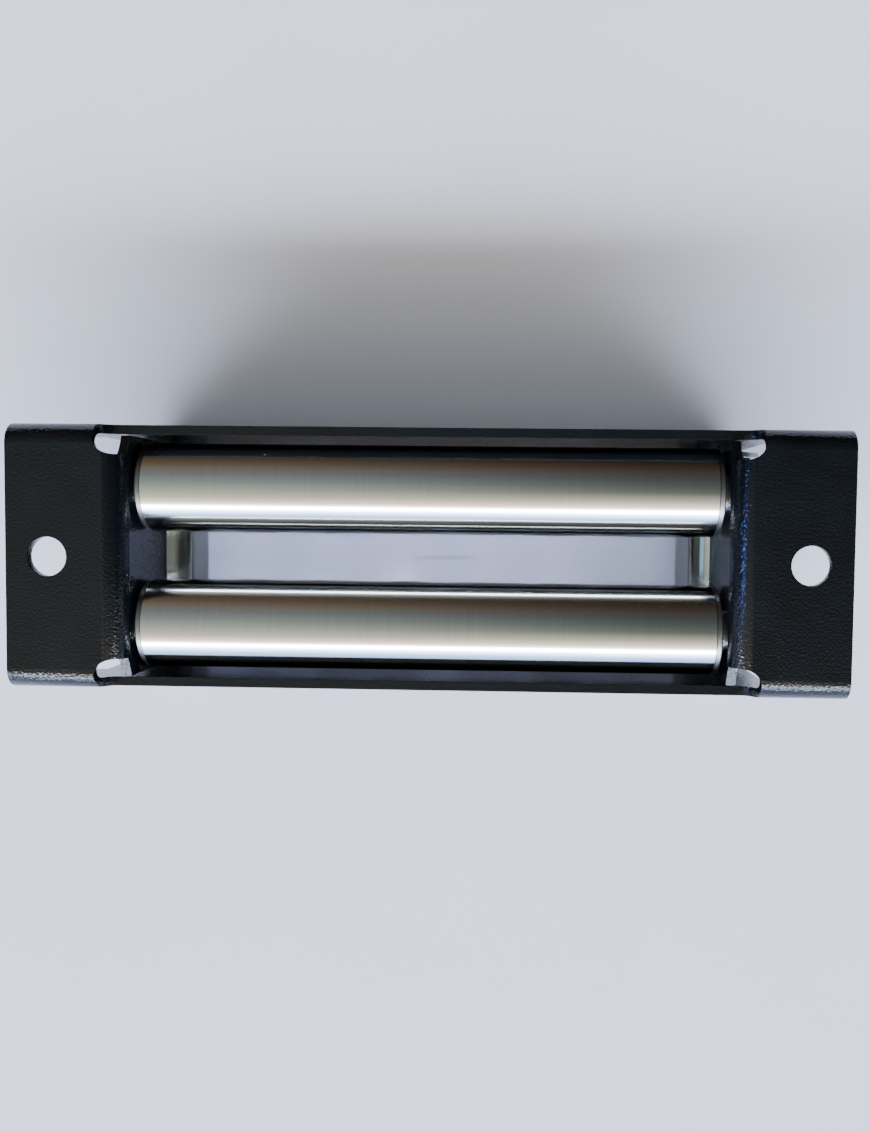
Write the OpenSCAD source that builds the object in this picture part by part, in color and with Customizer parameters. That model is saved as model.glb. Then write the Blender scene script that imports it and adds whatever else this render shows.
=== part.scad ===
// Four-way roller fairlead: a folded plate frame with two long and two short rollers on fixed pins.
// The origin is on the mounting face, midway between the bolt holes, and +Z leaves that face.
// +X runs along the long rollers and +Y along the short rollers.

/* [Frame] */
// Overall length, ear end to ear end
frame_l = 308; // [300:1:330]
// Overall height across the two flanges
frame_h = 98; // [95:0.5:110]
// Thickness of the plate
plate_t = 3.5; // [3:0.5:4.5]
// Inside radius of every bend
bend_r = 4; // [3:0.5:5]
// Plate left from a short roller axis to the front edge of the flanges
flange_edge = 19; // [18:0.5:30]
// Setback of that deep part of the flanges from each ear end
lug_inset = 26; // [21:0.5:27]
// Rounding of the front corners of the deep part
lug_r = 10; // [4:1:12]
// Depth of the flange edges along the rope window below the mounting face
edge_d = 10.5; // [9:0.5:13]
// Depth of the flange lip along each ear
lip_d = 27; // [20:1:34]
// Rounding of the lip at each ear end
lip_r = 14; // [4:1:17]

/* [Side walls] */
// Length of each ear, from its end to the inner face of the side wall
ear_l = 43; // [42:0.5:46]
// Depth of the side walls below the mounting face
wall_d = 45; // [40:1:48]
// Rounding of the free corners of the side walls
wall_r = 10; // [4:1:12]
// Slot between a side wall and each flange
wall_slot = 0.5; // [0.4:0.1:2]
// Diameter of the relief hole where two bends meet
relief_d = 12.5; // [11:0.5:13.5]
// Lean of the relief hole from the mounting face's normal towards the flange
relief_lean = 24; // [15:1:35]

/* [Mounting] */
// Distance from each ear end to its bolt hole
bolt_inset = 15.25; // [12:0.25:18]
// Diameter of the bolt holes
bolt_d = 14.5; // [10:0.5:16]

/* [Rollers] */
// Outer diameter of all four rollers
roller_d = 34; // [30:0.5:35]
// Wall of the roller tubes
roller_wall = 4; // [2:0.5:5]
// Chamfer on the ends of the roller tubes
roller_chamfer = 0.4; // [0.2:0.1:0.8]
// Clearance between a long roller and the flange beside it
side_clear = 2.25; // [0.5:0.25:4]
// Depth of the long roller axes below the mounting face
long_z = 24; // [23:0.5:27]
// Distance of each short roller axis outside the inner face of its side wall
short_offset = 7; // [5:0.5:7.5]
// Clearance between the long and the short rollers where they cross
cross_clear = 9; // [7:0.5:10]
// Axial play of every roller between its washers
roller_play = 1; // [0.6:0.1:2]

/* [Bushes and washers] */
// Length of the bush sleeve pressed into the tube
bush_l = 20; // [10:1:30]
// Thickness of the bush flange at the roller end
bush_flange_t = 2; // [1.5:0.1:3]
// Chamfer on the bush flange
bush_chamfer = 0.5; // [0.3:0.1:1.4]
// Thickness of the thrust washers
washer_t = 1; // [0.6:0.1:2]
// Outer diameter of the thrust washers
washer_d = 20; // [18:0.5:29]

/* [Pins and clips] */
// Diameter of the pins
pin_d = 12; // [10:0.5:13]
// Diameter of the pin heads
pin_head_d = 18; // [16:0.5:19]
// Thickness of the pin heads
pin_head_t = 4; // [2:0.5:6]
// Chamfer on the pin heads and ends
pin_chamfer = 1; // [0.4:0.1:1.4]
// Radial running clearance of a pin in its bushes
bush_clear = 0.05; // [0.02:0.01:0.1]
// Radial clearance of a pin in the plate and in the washers
hole_clear = 0.15; // [0.1:0.05:0.3]
// Thickness of the retaining clips
clip_t = 1.2; // [0.8:0.1:2]
// Radial width of the retaining clips
clip_w = 4.5; // [3:0.5:5]
// Depth of the clip groove in the pin
groove_depth = 1.2; // [0.8:0.1:1.6]
// Clearance of a clip in its groove
clip_clear = 0.1; // [0.05:0.05:0.2]
// Length of pin beyond the clip
pin_tail = 2.5; // [2:0.5:4]

/* [Hidden] */
$fn = 96;
bend_o = bend_r + plate_t;
web_h = frame_h - 2 * bend_o;
flange_gap = frame_h - 2 * plate_t;
wall_h = flange_gap - 2 * wall_slot;
wall_gap = frame_l - 2 * ear_l;
lug_l = frame_l - 2 * lug_inset;
bolt_pitch = frame_l - 2 * bolt_inset;
relief_x = wall_gap / 2 + 0.65 * bend_o;
long_pitch = flange_gap - roller_d - 2 * side_clear;
short_pitch = wall_gap + 2 * short_offset;
short_z = long_z + roller_d + cross_clear;
flange_d = short_z + flange_edge;
long_l = wall_gap - 2 * washer_t - roller_play;
short_l = flange_gap - 2 * washer_t - roller_play;
bore_d = roller_d - 2 * roller_wall;
groove_d = pin_d - 2 * groove_depth;
past = 1;

steel_black = [0.10, 0.11, 0.12];
steel_bright = [0.80, 0.81, 0.80];
bush_grey = [0.42, 0.43, 0.44];
zinc = [0.66, 0.67, 0.68];

// Places a piece drawn along +Z on a long roller axis; side is 1 for upper, -1 for lower.
module on_long(side) {
    translate([0, side * long_pitch / 2, -long_z])
        rotate([0, 90, 0])
            children();
}

// Places a piece drawn along +Z on a short roller axis; side is 1 for right, -1 for left.
module on_short(side) {
    translate([side * short_pitch / 2, 0, -short_z])
        rotate([-90, 0, 0])
            children();
}

// Sends a piece drawn at the +Z end of a roller to the chosen end.
module at_end(end) {
    mirror([0, 0, end < 0 ? 1 : 0])
        children();
}

// Section of a bend: the outer corner at the origin, the web to -X and the leg to -Y.
module fold(web, leg) {
    translate([-web, -plate_t])
        square([web - bend_o, plate_t]);
    translate([-plate_t, -leg])
        square([plate_t, leg - bend_o]);
    translate([-bend_o, -bend_o])
        intersection() {
            difference() {
                circle(bend_o);
                circle(bend_r);
            }
            square(bend_o + past);
        }
}

// Plate hanging below the X axis, with its two lower corners rounded and its top raised where asked.
module hanging_plate(width, depth, r, raised = 0) {
    translate([-width / 2, r - depth])
        square([width, depth - r + raised]);
    translate([r - width / 2, -depth])
        square([width - 2 * r, depth]);
    for (side = [-1, 1])
        translate([side * (width / 2 - r), r - depth])
            circle(r);
}

// Web and two flanges, cut to the outline of lips and deep parts.
module folded_channel() {
    intersection() {
        rotate([90, 0, 90])
            linear_extrude(frame_l, center = true)
                for (side = [0, 1])
                    mirror([side, 0])
                        translate([frame_h / 2, 0])
                            fold(frame_h / 2, flange_d);
        rotate([90, 0, 0])
            linear_extrude(frame_h + 2 * past, center = true) {
                hanging_plate(frame_l, lip_d, lip_r, past);
                hanging_plate(lug_l, flange_d, lug_r, past);
            }
    }
}

// Opening in the web: along the flanges, with round ends, and between the roots of the side walls.
module window_cut() {
    translate([-relief_x, -frame_h / 2 - past, -edge_d])
        cube([2 * relief_x, frame_h + 2 * past, edge_d + past]);
    translate([-wall_gap / 2 - bend_o, -web_h / 2, -bend_o])
        cube([wall_gap + 2 * bend_o, web_h, bend_o + past]);
    for (x = [-1, 1], y = [-1, 1])
        translate([x * relief_x, y * web_h / 2, relief_d / 2 - edge_d])
            rotate([-90 * y, 0, 0])
                cylinder(d = relief_d, h = bend_o + past);
}

// One side wall on the +X side: a bend from the web, and a plate that widens below it.
module side_wall() {
    rotate([90, 0, 0])
        linear_extrude(web_h, center = true)
            translate([wall_gap / 2, 0])
                mirror([1, 0])
                    fold(2 * bend_o, bend_o + plate_t);
    translate([wall_gap / 2, 0, -bend_o])
        rotate([90, 0, 90])
            linear_extrude(plate_t)
                hanging_plate(wall_h, wall_d - bend_o, wall_r);
}

// Holes where the bends of flange and side wall meet, each leaning into the flange bend.
module relief_cuts() {
    for (x = [-1, 1], y = [-1, 1])
        translate([x * relief_x, y * web_h / 2, -bend_o])
            rotate([-relief_lean * y, 0, 0])
                cylinder(d = relief_d, h = 2 * bend_o);
}

// Bolt holes through the ears.
module bolt_cuts() {
    for (side = [-1, 1])
        translate([side * bolt_pitch / 2, 0, -plate_t - past])
            cylinder(d = bolt_d, h = plate_t + 2 * past);
}

// Pin holes: each long pin crosses both side walls and each short pin both flanges.
module pin_cuts() {
    hole_d = pin_d + 2 * hole_clear;
    for (side = [-1, 1]) {
        on_long(side)
            cylinder(d = hole_d, h = wall_gap + 2 * plate_t + 2 * past, center = true);
        on_short(side)
            cylinder(d = hole_d, h = frame_h + 2 * past, center = true);
    }
}

// Roller tube with a through bore.
module tube(length) {
    chamfer = roller_chamfer;
    rotate_extrude()
        polygon([
            [bore_d / 2, -length / 2],
            [roller_d / 2 - chamfer, -length / 2],
            [roller_d / 2, -length / 2 + chamfer],
            [roller_d / 2, length / 2 - chamfer],
            [roller_d / 2 - chamfer, length / 2],
            [bore_d / 2, length / 2]
        ]);
}

// Flanged bush at the +Z end of a roller of the given length.
module bush(length) {
    tip = length / 2;
    flange = tip - bush_flange_t;
    rotate_extrude()
        polygon([
            [pin_d / 2 + bush_clear, flange - bush_l],
            [bore_d / 2, flange - bush_l],
            [bore_d / 2, flange],
            [roller_d / 2 - roller_chamfer, flange],
            [roller_d / 2 - roller_chamfer, tip - bush_chamfer],
            [roller_d / 2 - roller_chamfer - bush_chamfer, tip],
            [pin_d / 2 + bush_clear, tip]
        ]);
}

// Thrust washer lying against the wall at the +Z end of a gap.
module washer(gap) {
    translate([0, 0, gap / 2 - washer_t])
        difference() {
            cylinder(d = washer_d, h = washer_t);
            translate([0, 0, -past])
                cylinder(d = pin_d + 2 * hole_clear, h = washer_t + 2 * past);
        }
}

// Headed pin through two walls, with its head at -Z and its clip groove at +Z.
module pin(gap) {
    seat = gap / 2 + plate_t;
    groove = seat + clip_clear;
    shoulder = groove + clip_t + clip_clear;
    end = shoulder + pin_tail;
    rotate_extrude()
        polygon([
            [0, -seat - pin_head_t],
            [pin_head_d / 2 - pin_chamfer, -seat - pin_head_t],
            [pin_head_d / 2, -seat - pin_head_t + pin_chamfer],
            [pin_head_d / 2, -seat],
            [pin_d / 2, -seat],
            [pin_d / 2, groove],
            [groove_d / 2, groove],
            [groove_d / 2, shoulder],
            [pin_d / 2, shoulder],
            [pin_d / 2, end - pin_chamfer],
            [pin_d / 2 - pin_chamfer, end],
            [0, end]
        ]);
}

// Open retaining clip in the groove of a pin.
module clip(gap) {
    inner = groove_d / 2 + clip_clear;
    translate([0, 0, gap / 2 + plate_t + 1.5 * clip_clear])
        difference() {
            cylinder(r = inner + clip_w, h = clip_t);
            translate([0, 0, -past])
                cylinder(r = inner, h = clip_t + 2 * past);
            translate([0, -0.7 * inner, -past])
                cube([inner + clip_w + past, 1.4 * inner, clip_t + 2 * past]);
        }
}

module frame() {
    color(steel_black)
        difference() {
            union() {
                difference() {
                    folded_channel();
                    window_cut();
                }
                for (side = [0, 1])
                    mirror([side, 0, 0])
                        side_wall();
            }
            relief_cuts();
            bolt_cuts();
            pin_cuts();
        }
}

module upper_roller() color(steel_bright) on_long(1) tube(long_l - 2 * bush_flange_t);
module lower_roller() color(steel_bright) on_long(-1) tube(long_l - 2 * bush_flange_t);
module left_roller() color(steel_bright) on_short(-1) tube(short_l - 2 * bush_flange_t);
module right_roller() color(steel_bright) on_short(1) tube(short_l - 2 * bush_flange_t);

module upper_bush_left() color(bush_grey) on_long(1) at_end(-1) bush(long_l);
module upper_bush_right() color(bush_grey) on_long(1) at_end(1) bush(long_l);
module lower_bush_left() color(bush_grey) on_long(-1) at_end(-1) bush(long_l);
module lower_bush_right() color(bush_grey) on_long(-1) at_end(1) bush(long_l);
module left_bush_top() color(bush_grey) on_short(-1) at_end(1) bush(short_l);
module left_bush_bottom() color(bush_grey) on_short(-1) at_end(-1) bush(short_l);
module right_bush_top() color(bush_grey) on_short(1) at_end(1) bush(short_l);
module right_bush_bottom() color(bush_grey) on_short(1) at_end(-1) bush(short_l);

module upper_washer_left() color(zinc) on_long(1) at_end(-1) washer(wall_gap);
module upper_washer_right() color(zinc) on_long(1) at_end(1) washer(wall_gap);
module lower_washer_left() color(zinc) on_long(-1) at_end(-1) washer(wall_gap);
module lower_washer_right() color(zinc) on_long(-1) at_end(1) washer(wall_gap);
module left_washer_top() color(zinc) on_short(-1) at_end(1) washer(flange_gap);
module left_washer_bottom() color(zinc) on_short(-1) at_end(-1) washer(flange_gap);
module right_washer_top() color(zinc) on_short(1) at_end(1) washer(flange_gap);
module right_washer_bottom() color(zinc) on_short(1) at_end(-1) washer(flange_gap);

module upper_pin() color(zinc) on_long(1) pin(wall_gap);
module lower_pin() color(zinc) on_long(-1) pin(wall_gap);
module left_pin() color(zinc) on_short(-1) pin(flange_gap);
module right_pin() color(zinc) on_short(1) pin(flange_gap);

module upper_clip() color(zinc) on_long(1) clip(wall_gap);
module lower_clip() color(zinc) on_long(-1) clip(wall_gap);
module left_clip() color(zinc) on_short(-1) clip(flange_gap);
module right_clip() color(zinc) on_short(1) clip(flange_gap);

frame();
upper_roller();
lower_roller();
left_roller();
right_roller();
upper_bush_left();
upper_bush_right();
lower_bush_left();
lower_bush_right();
left_bush_top();
left_bush_bottom();
right_bush_top();
right_bush_bottom();
upper_washer_left();
upper_washer_right();
lower_washer_left();
lower_washer_right();
left_washer_top();
left_washer_bottom();
right_washer_top();
right_washer_bottom();
upper_pin();
lower_pin();
left_pin();
right_pin();
upper_clip();
lower_clip();
left_clip();
right_clip();
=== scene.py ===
"""Looks of a four-way roller fairlead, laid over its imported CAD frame."""

import math

import bpy
from bpy.props import FloatProperty, FloatVectorProperty, PointerProperty, StringProperty
from mathutils import Matrix, Vector


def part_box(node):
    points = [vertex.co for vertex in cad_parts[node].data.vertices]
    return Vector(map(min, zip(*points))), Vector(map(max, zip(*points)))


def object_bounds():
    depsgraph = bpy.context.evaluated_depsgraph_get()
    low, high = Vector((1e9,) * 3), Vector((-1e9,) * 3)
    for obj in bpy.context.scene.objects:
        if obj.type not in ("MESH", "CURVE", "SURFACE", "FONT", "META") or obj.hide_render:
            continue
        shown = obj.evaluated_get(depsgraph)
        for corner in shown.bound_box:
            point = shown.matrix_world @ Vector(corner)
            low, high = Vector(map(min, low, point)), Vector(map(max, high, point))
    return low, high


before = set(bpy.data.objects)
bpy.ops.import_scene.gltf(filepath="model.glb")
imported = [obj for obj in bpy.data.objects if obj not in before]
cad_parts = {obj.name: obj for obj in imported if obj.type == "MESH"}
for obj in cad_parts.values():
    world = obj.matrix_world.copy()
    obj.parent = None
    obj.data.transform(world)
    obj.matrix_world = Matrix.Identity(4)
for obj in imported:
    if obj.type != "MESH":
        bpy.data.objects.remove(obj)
CAD_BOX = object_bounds()

bl_info = {
    "name": "Roller Fairlead",
    "version": (1, 0, 0),
    "blender": (4, 5, 0),
    "location": "View3D > Sidebar > Fairlead",
    "description": "Finishes a roller fairlead and sets it on a studio table",
    "category": "Object",
}

MM = 0.001

LONG_ROLLERS = ("upper_roller", "lower_roller")
SHORT_ROLLERS = ("left_roller", "right_roller")
BUSHES = [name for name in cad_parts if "_bush_" in name]
WASHERS = [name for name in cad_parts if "_washer_" in name]
PINS = [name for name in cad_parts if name.endswith("_pin")]
CLIPS = [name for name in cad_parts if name.endswith("_clip")]

# Edges sharper than this are rounded, once points closer than the weld gap are joined.
SHARP_EDGE = math.radians(35)
EDGE_SEGMENTS = 3
WELD_GAP = 0.001 * MM

# A colour mix node has sockets of one name for each kind of value, so its colour sockets go by number.
MIX_COLOUR_A = 6
MIX_COLOUR_B = 7
MIX_COLOUR_RESULT = 2

# Light sent through the rope window, from its left end to its right.
BEAM_LEVELS = (0.8, 0.9, 0.95, 1.0, 1.0, 0.9, 0.6, 0.35)


def linear(hex_colour):
    """Turns an sRGB hex value into the linear colour that shaders and lights take."""
    channels = [int(hex_colour[i:i + 2], 16) / 255 for i in (1, 3, 5)]
    return [c / 12.92 if c <= 0.04045 else ((c + 0.055) / 1.055) ** 2.4 for c in channels] + [1.0]


def shade(colour, share):
    """A darker or brighter copy of a linear colour."""
    return [share * c for c in colour[:3]] + [1.0]


def add(tree, kind, attributes=None, inputs=None, links=None, stops=()):
    """Adds one node: its settings, its socket values, the outputs that feed it and the stops of its ramp."""
    made = tree.nodes.new(kind)
    for name, value in (attributes or {}).items():
        setattr(made, name, value)
    for socket, value in (inputs or {}).items():
        made.inputs[socket].default_value = value
    for socket, (source, output) in (links or {}).items():
        tree.links.new(source.outputs[output], made.inputs[socket])
    for number, (place, colour) in enumerate(stops):
        ramp = made.color_ramp.elements
        stop = ramp[number] if number < len(ramp) else ramp.new(1.0)
        stop.position = place
        stop.color = colour
    return made


def new_material(name):
    """An empty material, its node tree and the coordinates that its patterns are drawn in."""
    material = bpy.data.materials.new(name)
    material.use_nodes = True
    tree = material.node_tree
    tree.nodes.clear()
    return material, tree, add(tree, "ShaderNodeTexCoord")


def powder_coat(finish):
    """Black polyester powder coat, sprayed and baked on steel plate.

    The melt leaves a fine hammered grain, which breaks up every highlight on the bends, and a few dust nibs.
    """
    cloud_size = 14 * MM
    nib_gap = 9 * MM
    nib_foot, nib_top = 0.045, 0.03  # radii, as shares of the gap
    nib_share = 0.1  # of the places that could have one
    material, tree, coords = new_material("black_powder_coat")
    here = {"Vector": (coords, "Object")}
    grain = add(tree, "ShaderNodeTexNoise",
                inputs={"Scale": 1 / finish.coat_grain, "Detail": 1.0, "Roughness": 0.5}, links=here)
    cloud = add(tree, "ShaderNodeTexNoise", inputs={"Scale": 1 / cloud_size, "Detail": 3.0}, links=here)
    nibs = add(tree, "ShaderNodeTexVoronoi", inputs={"Scale": 1 / nib_gap, "Randomness": 1.0}, links=here)
    round_nib = add(tree, "ShaderNodeMapRange", inputs={"From Min": nib_foot, "From Max": nib_top},
                    links={"Value": (nibs, "Distance")})
    chance = add(tree, "ShaderNodeSeparateColor", links={"Color": (nibs, "Color")})
    few = add(tree, "ShaderNodeMath", {"operation": "GREATER_THAN"}, {1: 1 - nib_share},
              {0: (chance, "Red")})
    nib = add(tree, "ShaderNodeMath", {"operation": "MULTIPLY"},
              links={0: (round_nib, "Result"), 1: (few, "Value")})
    black = linear(finish.coat_colour)
    tone = add(tree, "ShaderNodeValToRGB", links={"Fac": (cloud, "Fac")},
               stops=[(0.3, shade(black, 0.85)), (0.7, shade(black, 1.2))])
    colour = add(tree, "ShaderNodeMix", {"data_type": "RGBA"}, {MIX_COLOUR_B: linear(finish.nib_colour)},
                 {"Factor": (nib, "Value"), MIX_COLOUR_A: (tone, "Color")})
    rough = add(tree, "ShaderNodeMapRange", inputs={"To Min": 0.10, "To Max": 0.16},
                links={"Value": (cloud, "Fac")})
    bump = add(tree, "ShaderNodeBump", inputs={"Strength": finish.coat_bump, "Distance": 0.2 * MM},
               links={"Height": (grain, "Fac")})
    shader = add(tree, "ShaderNodeBsdfPrincipled", inputs={"IOR": 1.4},
                 links={"Base Color": (colour, MIX_COLOUR_RESULT), "Roughness": (rough, "Result"),
                        "Normal": (bump, "Normal")})
    add(tree, "ShaderNodeOutputMaterial", links={"Surface": (shader, "BSDF")})
    return material


def turned_steel(finish, axis):
    """Steel tube, fine-turned and bright zinc plated.

    Its rings run round it, so a highlight stays sharp round the tube and is drawn out along it.
    """
    ring_run = 60 * MM
    cloud_size = 25 * MM
    material, tree, coords = new_material(f"turned_zinc_steel_{'xyz'[axis]}")
    # Real feed marks are about 0.15 mm apart, too fine to show, so they are drawn coarser.
    rings = [1 / ring_run] * 3
    rings[axis] = 1 / finish.turning_pitch
    along = add(tree, "ShaderNodeMapping", inputs={"Scale": rings}, links={"Vector": (coords, "Object")})
    marks = add(tree, "ShaderNodeTexNoise", inputs={"Scale": 1.0, "Detail": 4.0, "Roughness": 0.6},
                links={"Vector": (along, "Vector")})
    cloud = add(tree, "ShaderNodeTexNoise", inputs={"Scale": 1 / cloud_size, "Detail": 3.0},
                links={"Vector": (coords, "Object")})
    bright = linear(finish.roller_colour)
    tone = add(tree, "ShaderNodeValToRGB", links={"Fac": (marks, "Fac")},
               stops=[(0.3, shade(bright, 0.95)), (0.7, bright)])
    rough = add(tree, "ShaderNodeMapRange", inputs={"To Min": 0.12, "To Max": 0.17},
                links={"Value": (cloud, "Fac")})
    bump = add(tree, "ShaderNodeBump", inputs={"Strength": 0.06, "Distance": 0.02 * MM},
               links={"Height": (marks, "Fac")})
    tangent = add(tree, "ShaderNodeTangent", {"direction_type": "RADIAL", "axis": "XYZ"[axis]})
    shader = add(tree, "ShaderNodeBsdfPrincipled",
                 inputs={"Metallic": 1.0, "Anisotropic": 0.6, "Anisotropic Rotation": 0.25},
                 links={"Base Color": (tone, "Color"), "Roughness": (rough, "Result"),
                        "Normal": (bump, "Normal"), "Tangent": (tangent, "Tangent")})
    add(tree, "ShaderNodeOutputMaterial", links={"Surface": (shader, "BSDF")})
    return material


def sintered_steel(finish):
    """Pressed and sintered steel of the bushes: grey, satin, with fine pores."""
    # Real pores are under 0.1 mm, too fine to show, so they are drawn coarser.
    pore_size = 0.6 * MM
    material, tree, coords = new_material("sintered_steel")
    pores = add(tree, "ShaderNodeTexNoise", inputs={"Scale": 1 / pore_size, "Detail": 4.0},
                links={"Vector": (coords, "Object")})
    grey = linear(finish.bush_colour)
    tone = add(tree, "ShaderNodeValToRGB", links={"Fac": (pores, "Fac")},
               stops=[(0.35, shade(grey, 0.8)), (0.6, grey)])
    rough = add(tree, "ShaderNodeMapRange", inputs={"To Min": 0.28, "To Max": 0.42},
                links={"Value": (pores, "Fac")})
    bump = add(tree, "ShaderNodeBump", inputs={"Strength": 0.15, "Distance": 0.02 * MM},
               links={"Height": (pores, "Fac")})
    shader = add(tree, "ShaderNodeBsdfPrincipled", inputs={"Metallic": 1.0},
                 links={"Base Color": (tone, "Color"), "Roughness": (rough, "Result"),
                        "Normal": (bump, "Normal")})
    add(tree, "ShaderNodeOutputMaterial", links={"Surface": (shader, "BSDF")})
    return material


def zinc_plate(finish):
    """Bright zinc plate on drawn steel: cool silver with a faint cloudy passivation."""
    cloud_size = 5 * MM
    material, tree, coords = new_material("bright_zinc_plate")
    cloud = add(tree, "ShaderNodeTexNoise", inputs={"Scale": 1 / cloud_size, "Detail": 4.0},
                links={"Vector": (coords, "Object")})
    silver = linear(finish.zinc_colour)
    tone = add(tree, "ShaderNodeValToRGB", links={"Fac": (cloud, "Fac")},
               stops=[(0.35, shade(silver, 0.85)), (0.65, silver)])
    rough = add(tree, "ShaderNodeMapRange", inputs={"To Min": 0.22, "To Max": 0.36},
                links={"Value": (cloud, "Fac")})
    shader = add(tree, "ShaderNodeBsdfPrincipled", inputs={"Metallic": 1.0},
                 links={"Base Color": (tone, "Color"), "Roughness": (rough, "Result")})
    add(tree, "ShaderNodeOutputMaterial", links={"Surface": (shader, "BSDF")})
    return material


def spring_steel(finish):
    """Hardened and blued spring steel strip of the clips: dark, with a little oil sheen."""
    cloud_size = 3 * MM
    material, tree, coords = new_material("blued_spring_steel")
    cloud = add(tree, "ShaderNodeTexNoise", inputs={"Scale": 1 / cloud_size, "Detail": 3.0},
                links={"Vector": (coords, "Object")})
    dark = linear(finish.clip_colour)
    tone = add(tree, "ShaderNodeValToRGB", links={"Fac": (cloud, "Fac")},
               stops=[(0.35, shade(dark, 0.75)), (0.65, dark)])
    rough = add(tree, "ShaderNodeMapRange", inputs={"To Min": 0.25, "To Max": 0.40},
                links={"Value": (cloud, "Fac")})
    shader = add(tree, "ShaderNodeBsdfPrincipled", inputs={"Metallic": 1.0},
                 links={"Base Color": (tone, "Color"), "Roughness": (rough, "Result")})
    add(tree, "ShaderNodeOutputMaterial", links={"Surface": (shader, "BSDF")})
    return material


def table_laminate(stage):
    """Pale melamine laminate of the table: matt, with a faint lilac-grey cloud."""
    cloud_size = 90 * MM
    material, tree, coords = new_material("pale_table_laminate")
    cloud = add(tree, "ShaderNodeTexNoise", inputs={"Scale": 1 / cloud_size, "Detail": 4.0},
                links={"Vector": (coords, "Object")})
    pale = linear(stage.table_colour)
    tone = add(tree, "ShaderNodeValToRGB", links={"Fac": (cloud, "Fac")},
               stops=[(0.3, shade(pale, 0.97)), (0.7, pale)])
    shader = add(tree, "ShaderNodeBsdfPrincipled", inputs={"Roughness": 0.5},
                 links={"Base Color": (tone, "Color")})
    add(tree, "ShaderNodeOutputMaterial", links={"Surface": (shader, "BSDF")})
    return material


def dress(names, material, edge=0.0):
    """Gives CAD nodes a material and, where asked, softly rounded edges."""
    for name in names:
        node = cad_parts[name]
        for slot in node.material_slots:
            slot.material = material
        if edge:
            weld = node.modifiers.new("join_faces", "WELD")
            weld.merge_threshold = WELD_GAP
            bevel = node.modifiers.new("soft_edges", "BEVEL")
            bevel.width = edge
            bevel.segments = EDGE_SEGMENTS
            bevel.limit_method = "ANGLE"
            bevel.angle_limit = SHARP_EDGE
            bevel.harden_normals = True


class FairleadFinish(bpy.types.PropertyGroup):
    """Colours and grain of the fairlead's finishes."""

    coat_colour: StringProperty(name="Coat colour", description="Powder coat, sRGB hex", default="#090c0f")
    coat_grain: FloatProperty(name="Coat grain", description="Width of the hammered grain",
                              default=0.95 * MM, min=0.3 * MM, unit="LENGTH")
    coat_bump: FloatProperty(name="Coat bump", description="Strength of the hammered grain",
                             default=1.0, min=0.0)
    coat_edge: FloatProperty(name="Coated edge", description="Rounding of the coated plate edges",
                             default=0.5 * MM, min=0.1 * MM, unit="LENGTH")
    nib_colour: StringProperty(name="Nib colour", description="Dust nibs in the coat, sRGB hex",
                               default="#8d9096")
    roller_colour: StringProperty(name="Roller colour", description="Turned steel, sRGB hex",
                                  default="#d6d8d6")
    turning_pitch: FloatProperty(name="Turning pitch", description="Spacing of the drawn turning marks",
                                 default=0.9 * MM, min=0.1 * MM, unit="LENGTH")
    bush_colour: StringProperty(name="Bush colour", description="Sintered steel, sRGB hex",
                                default="#8b8d8f")
    zinc_colour: StringProperty(name="Zinc colour", description="Pins and washers, sRGB hex",
                                default="#a9acb0")
    clip_colour: StringProperty(name="Clip colour", description="Spring clips, sRGB hex", default="#4a4b50")


class FairleadStage(bpy.types.PropertyGroup):
    """Camera, table and lights."""

    camera_place: FloatVectorProperty(name="Camera place", description="Camera above the mounting face",
                                      default=(0.0331, 0.0170, 0.3536), subtype="TRANSLATION", unit="LENGTH")
    camera_tilt: FloatVectorProperty(name="Camera tilt", description="Turn from looking straight down",
                                     default=(-0.0475, 0.0278, 0.0113), subtype="EULER", unit="ROTATION")
    lens_mm: FloatProperty(name="Lens", description="Focal length on a 36 mm sensor",
                           default=31.22, min=1.0, unit="CAMERA")
    shift_x: FloatProperty(name="Shift X", description="Sideways lens shift, share of the long side",
                           default=-0.0486)
    shift_y: FloatProperty(name="Shift Y", description="Upward lens shift, share of the long side",
                           default=-0.0033)
    table_colour: StringProperty(name="Table colour", description="Table top, sRGB hex", default="#dfe2ee")
    table_half: FloatProperty(name="Table half", description="Half the width of the table top",
                              default=30.0, min=1.0, unit="LENGTH")
    backdrop_light: FloatProperty(name="Backdrop light", description="Brightness of the plain backdrop",
                                  default=1.8, min=0.0)
    room_light: FloatProperty(name="Room light", description="Brightness of the room all round",
                              default=6.0, min=0.0)
    beam_colour: StringProperty(name="Beam colour", description="Beams through the rope window, sRGB hex",
                                default="#d2dbff")
    window_fill: FloatProperty(name="Window fill", description="Light sent down through the rope window",
                               default=1.1, min=0.0)
    under_fill: FloatProperty(name="Under fill", description="Light slanted under the lower roller",
                              default=0.9, min=0.0)
    overhead_colour: StringProperty(name="Overhead colour", description="Light from above, sRGB hex",
                                    default="#e8ecff")
    overhead_fill: FloatProperty(name="Overhead fill", description="Soft light from straight above",
                                 default=0.13, min=0.0)
    panel_angle: FloatProperty(name="Panel angle", description="Sky panels from the zenith",
                               default=math.radians(50), subtype="ANGLE", unit="ROTATION")
    bend_sky_colour: StringProperty(name="Bend sky colour", description="Sky light on the bend, sRGB hex",
                                    default="#6f90ff")
    bend_sky_light: FloatProperty(name="Bend sky light", description="Brightness of the bend's sky",
                                  default=1.1, min=0.0)
    roller_sky_colour: StringProperty(name="Roller sky colour", description="Sky on the roller, sRGB hex",
                                      default="#9ad6ff")
    roller_sky_light: FloatProperty(name="Roller sky light", description="Brightness of the roller's sky",
                                    default=1.0, min=0.0)


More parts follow.
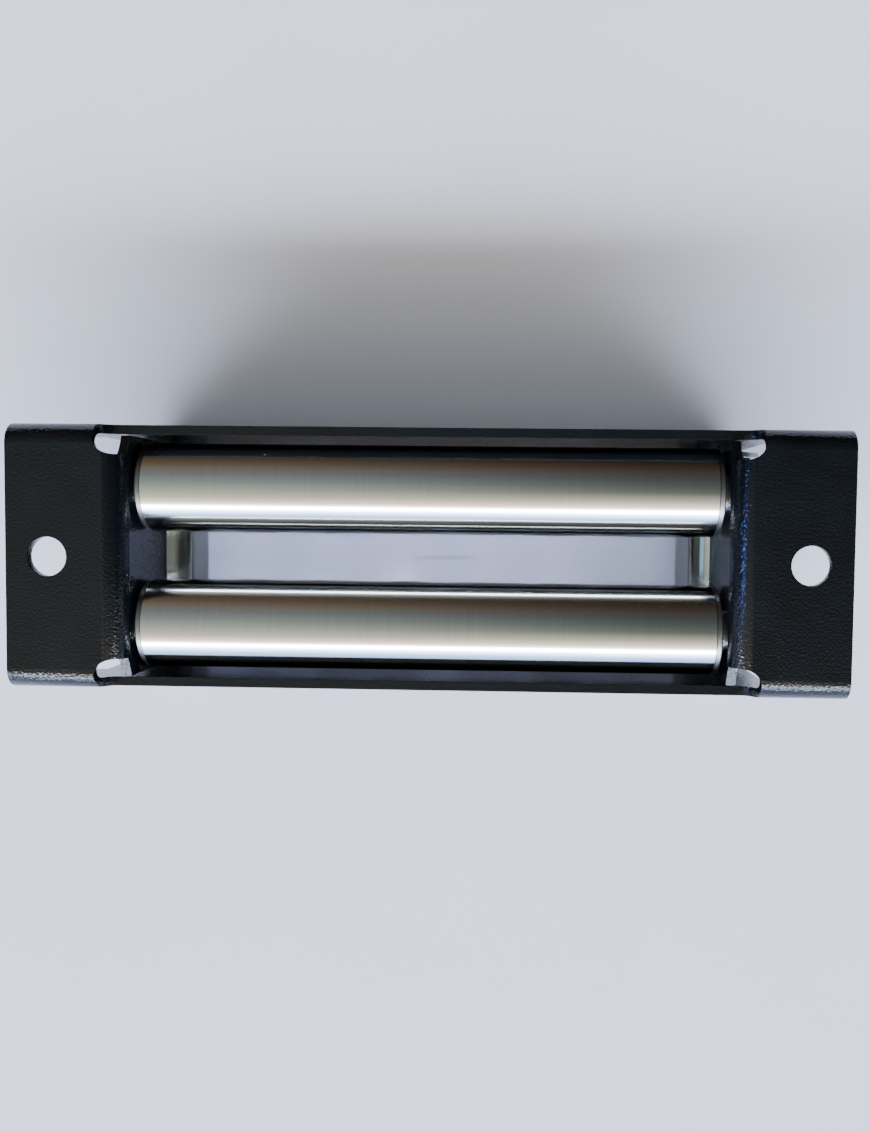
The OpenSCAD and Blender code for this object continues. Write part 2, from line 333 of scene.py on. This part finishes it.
class FAIRLEAD_OT_frame(bpy.types.Operator):
    """Coat the folded frame and soften its cut edges"""

    bl_idname = "fairlead.frame"
    bl_label = "Coat Frame"

    def execute(self, context):
        finish = context.scene.fairlead_finish
        dress(["frame"], powder_coat(finish), edge=finish.coat_edge)
        return {"FINISHED"}


class FAIRLEAD_OT_rollers(bpy.types.Operator):
    """Finish the four roller tubes, with turning marks round each one"""

    bl_idname = "fairlead.rollers"
    bl_label = "Turn Rollers"

    def execute(self, context):
        finish = context.scene.fairlead_finish
        dress(LONG_ROLLERS, turned_steel(finish, axis=0))
        dress(SHORT_ROLLERS, turned_steel(finish, axis=1))
        return {"FINISHED"}


class FAIRLEAD_OT_bushes(bpy.types.Operator):
    """Finish the flanged bushes at the roller ends"""

    bl_idname = "fairlead.bushes"
    bl_label = "Finish Bushes"

    def execute(self, context):
        dress(BUSHES, sintered_steel(context.scene.fairlead_finish))
        return {"FINISHED"}


class FAIRLEAD_OT_pins(bpy.types.Operator):
    """Finish the pins, their washers and their clips"""

    bl_idname = "fairlead.pins"
    bl_label = "Finish Pins"

    def execute(self, context):
        finish = context.scene.fairlead_finish
        dress(PINS + WASHERS, zinc_plate(finish))
        dress(CLIPS, spring_steel(finish))
        return {"FINISHED"}


def studio_room(stage):
    """Light all round: a dim warm room towards +Y, a grey ceiling and a long bright window towards -Y."""
    # Angle from the zenith towards -Y in degrees, colour, and share of the room's light.
    bands = (
        (-90, "#3a3530", 0.2), (-65, "#ffd8b6", 0.029), (-48, "#fff0e0", 0.040), (-35, "#eef7f9", 0.047),
        (-15, "#f1fff9", 0.069), (5, "#f8ffee", 0.112), (26, "#fffae6", 0.185), (39, "#ffe6d2", 0.40),
        (47, "#ffe8d8", 0.85), (49.5, "#f2f6ff", 5.4), (57, "#d3e3ff", 5.4), (62, "#c0d7ff", 1.9),
        (74, "#aecbff", 0.7), (90, "#a9c8ff", 0.40),
    )
    world = bpy.data.worlds.new("studio_room")
    world.use_nodes = True
    tree = world.node_tree
    tree.nodes.clear()
    coords = add(tree, "ShaderNodeTexCoord")
    axes = add(tree, "ShaderNodeSeparateXYZ", links={"Vector": (coords, "Generated")})
    lean = add(tree, "ShaderNodeMath", {"operation": "ARCTAN2"}, links={0: (axes, "Y"), 1: (axes, "Z")})
    place = add(tree, "ShaderNodeMapRange", inputs={"From Min": math.pi / 2, "From Max": -math.pi / 2},
                links={"Value": (lean, "Value")})
    sky = add(tree, "ShaderNodeValToRGB", links={"Fac": (place, "Result")},
              stops=[((angle + 90) / 180, shade(linear(colour), share)) for angle, colour, share in bands])
    # The ceiling is darker right of the middle, and the whole room fades towards its two ends.
    ceiling = add(tree, "ShaderNodeMapRange",
                  inputs={"From Min": math.radians(-2), "From Max": math.radians(-30), "To Min": 0.3},
                  links={"Value": (lean, "Value")})
    right = add(tree, "ShaderNodeMapRange", {"interpolation_type": "SMOOTHSTEP"},
                {"From Min": -0.35, "From Max": 0.25}, {"Value": (axes, "X")})
    dim = add(tree, "ShaderNodeMix", inputs={"A": 1.0},
              links={"Factor": (right, "Result"), "B": (ceiling, "Result")})
    reach = add(tree, "ShaderNodeMath", {"operation": "ABSOLUTE"}, links={0: (axes, "X")})
    ends = add(tree, "ShaderNodeMapRange", {"interpolation_type": "SMOOTHSTEP"},
               {"From Min": 0.55, "From Max": 0.85,
                "To Min": stage.room_light, "To Max": 0.1 * stage.room_light},
               {"Value": (reach, "Value")})
    strength = add(tree, "ShaderNodeMath", {"operation": "MULTIPLY"},
                   links={0: (dim, "Result"), 1: (ends, "Result")})
    room = add(tree, "ShaderNodeBackground",
               links={"Color": (sky, "Color"), "Strength": (strength, "Value")})
    # Seen directly, past the table's edge, the room is a plain pale backdrop.
    backdrop = add(tree, "ShaderNodeBackground",
                   inputs={"Color": linear(stage.table_colour), "Strength": stage.backdrop_light})
    seen = add(tree, "ShaderNodeLightPath")
    shown = add(tree, "ShaderNodeMixShader",
                links={0: (seen, "Is Camera Ray"), 1: (room, "Background"), 2: (backdrop, "Background")})
    add(tree, "ShaderNodeOutputWorld", links={"Surface": (shown, "Shader")})
    return world


def softbox(name, aim, out, distance, sides, colour, radiance, beam=180):
    """A panel of light that faces the aim point from a direction, with its sides in metres along X and Y.

    The beam is the angle that its light spreads over, in degrees.
    """
    light = bpy.data.lights.new(name, "AREA")
    light.shape = "RECTANGLE"
    light.size, light.size_y = sides
    light.spread = math.radians(beam)
    light.color = linear(colour)[:3]
    light.energy = radiance * math.pi * sides[0] * sides[1]
    lamp = bpy.data.objects.new(name, light)
    bpy.context.scene.collection.objects.link(lamp)
    lamp.location = aim + distance * out
    along_y = out.cross(Vector((1, 0, 0))).normalized()
    lamp.rotation_euler = Matrix((along_y.cross(out), along_y, out)).transposed().to_euler()
    lamp.visible_camera = False
    return lamp


class FAIRLEAD_OT_stage(bpy.types.Operator):
    """Set the camera, the table and the lights"""

    bl_idname = "fairlead.stage"
    bl_label = "Set Stage"

    def execute(self, context):
        stage = context.scene.fairlead_stage
        low, high = CAD_BOX
        self.set_camera(context.scene, stage)
        self.lay_table(context.scene, stage, low.z)
        context.scene.world = studio_room(stage)
        self.hang_panels(stage, low, high)
        self.send_beams(stage, low.z)
        return {"FINISHED"}

    def set_camera(self, scene, stage):
        """Looks down on the mounting face, as the photo does."""
        lens = bpy.data.cameras.new("photo_camera")
        lens.sensor_width = 36
        lens.lens = stage.lens_mm
        lens.shift_x = stage.shift_x
        lens.shift_y = stage.shift_y
        lens.clip_start = 0.01
        camera = bpy.data.objects.new("photo_camera", lens)
        scene.collection.objects.link(camera)
        camera.location = stage.camera_place
        camera.rotation_euler = stage.camera_tilt
        scene.camera = camera

    def lay_table(self, scene, stage, height):
        """Puts the table under the flange edges that the part lies on, with its own edge out of sight."""
        half = stage.table_half
        mesh = bpy.data.meshes.new("table_top")
        corners = [(x * half, y * half, height) for x, y in ((-1, -1), (1, -1), (1, 1), (-1, 1))]
        mesh.from_pydata(corners, [], [(0, 1, 2, 3)])
        mesh.materials.append(table_laminate(stage))
        table = bpy.data.objects.new("table_top", mesh)
        scene.collection.objects.link(table)

    def hang_panels(self, stage, low, high):
        """Sky light that only the coated frame and the right roller mirror, and a soft light from above.

        The sky draws a broken line on the coat of the right bend, and a paler one on the roller beside it.
        """
        middle = Vector((0, 0, (low.z + high.z) / 2))
        right_bend = Vector((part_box("upper_washer_right")[1].x, 0, high.z))
        angle = stage.panel_angle
        towards_window = -0.09
        sky = Vector((-math.sin(angle), towards_window, math.cos(angle))).normalized()
        bend_panel = softbox("sky_panel_frame", right_bend, sky, distance=0.6, sides=(0.05, 0.36),
                             colour=stage.bend_sky_colour, radiance=stage.bend_sky_light, beam=26)
        roller_panel = softbox("sky_panel_right_roller", middle, sky, distance=1.6, sides=(0.3, 0.4),
                               colour=stage.roller_sky_colour, radiance=stage.roller_sky_light)
        for panel, node in ((bend_panel, "frame"), (roller_panel, "right_roller")):
            lit = bpy.data.collections.new(f"lit_{node}")
            lit.objects.link(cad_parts[node])
            panel.light_linking.receiver_collection = lit
        fill = softbox("overhead_fill", middle, Vector((0, 0, 1)), distance=1.6, sides=(1.2, 0.9),
                       colour=stage.overhead_colour, radiance=stage.overhead_fill, beam=30)
        fill.visible_glossy = False

    def send_beams(self, stage, table_height):
        """Beams along the lines of sight light the table in the rope window, with no glint on the rollers.

        Three rows slant through the gap between the long rollers, so that light reaches in under both.
        """
        left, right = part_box("left_roller")[1].x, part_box("right_roller")[0].x
        # The first and the last beam meet the table under the short rollers, just past the window.
        step = (right - left) / (len(BEAM_LEVELS) - 2)
        under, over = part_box("lower_roller")
        eye = Vector(stage.camera_place)
        gap_share = ((under.z + over.z) / 2 - table_height) / (eye.z - table_height)
        # Where each row meets the table, from its middle line towards +Y, and the row's light.
        rows = ((7 * MM, stage.window_fill), (-12 * MM, stage.window_fill), (-34 * MM, stage.under_fill))
        for number, level in enumerate(BEAM_LEVELS):
            foot = Vector((left + (number - 0.5) * step, 0, table_height))
            gap = foot.lerp(eye, gap_share)
            gap.y = 0
            for row, (y, fill) in enumerate(rows):
                spot = Vector((foot.x, y, table_height))
                out = (gap - spot).normalized()
                beam = softbox(f"beam_{row}_{number}", spot, out, distance=0.8, sides=(step, 0.06),
                               colour=stage.beam_colour, radiance=level * fill, beam=2)
                beam.visible_glossy = False


class FAIRLEAD_PT_sidebar(bpy.types.Panel):
    """Lists the steps in the sidebar of the 3D view"""

    bl_idname = "FAIRLEAD_PT_sidebar"
    bl_label = "Roller Fairlead"
    bl_space_type = "VIEW_3D"
    bl_region_type = "UI"
    bl_category = "Fairlead"

    def draw(self, context):
        column = self.layout.column()
        for step in STEPS:
            column.operator(step.bl_idname)
        for group in (context.scene.fairlead_finish, context.scene.fairlead_stage):
            for name in group.__annotations__:
                column.prop(group, name)


STEPS = (FAIRLEAD_OT_stage, FAIRLEAD_OT_frame, FAIRLEAD_OT_rollers, FAIRLEAD_OT_bushes, FAIRLEAD_OT_pins)
CLASSES = (FairleadFinish, FairleadStage, *STEPS, FAIRLEAD_PT_sidebar)


def register():
    for cls in CLASSES:
        bpy.utils.register_class(cls)
    bpy.types.Scene.fairlead_finish = PointerProperty(type=FairleadFinish)
    bpy.types.Scene.fairlead_stage = PointerProperty(type=FairleadStage)


def unregister():
    del bpy.types.Scene.fairlead_stage
    del bpy.types.Scene.fairlead_finish
    for cls in reversed(CLASSES):
        bpy.utils.unregister_class(cls)


def main():
    register()
    bpy.ops.fairlead.stage()
    bpy.ops.fairlead.frame()
    bpy.ops.fairlead.rollers()
    bpy.ops.fairlead.bushes()
    bpy.ops.fairlead.pins()


if __name__ == "__main__":
    main()
